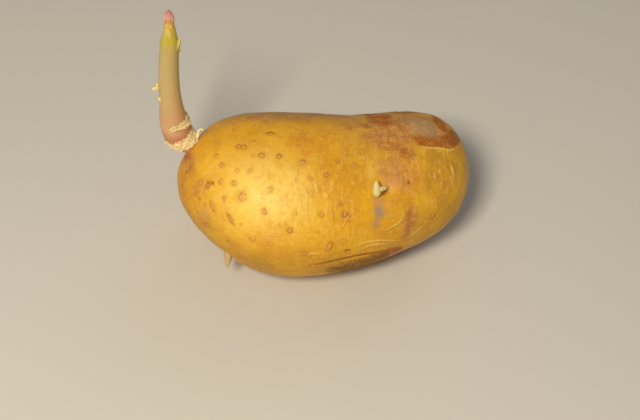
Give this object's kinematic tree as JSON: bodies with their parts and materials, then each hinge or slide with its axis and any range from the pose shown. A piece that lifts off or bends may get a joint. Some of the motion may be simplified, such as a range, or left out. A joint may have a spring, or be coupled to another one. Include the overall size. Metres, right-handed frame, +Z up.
{
  "type": "sprouting potato",
  "caption": "Oval, slightly kidney-shaped potato tuber with a tall upright shoot at one end and two short buds; it rests on a small flat spot.",
  "frame": {"origin": "middle of the small flat spot under the belly that the tuber rests on", "axes": "+X along the tuber from its sprouting rose end to its stem end, +Y to the back, +Z up"},
  "size_m": [0.1026, 0.0577, 0.097],
  "materials": {
    "tuber_skin": "waxy golden yellow skin, slightly wrinkled",
    "shoot_flesh": "soft cream flesh, faintly translucent",
    "bud_flesh": "soft pale cream flesh"
  },
  "bodies": {
    "root": {"tuber": "tuber_skin", "long_shoot": "shoot_flesh", "front_bud": "bud_flesh", "low_shoot": "bud_flesh"}
  },
  "joints": []
}
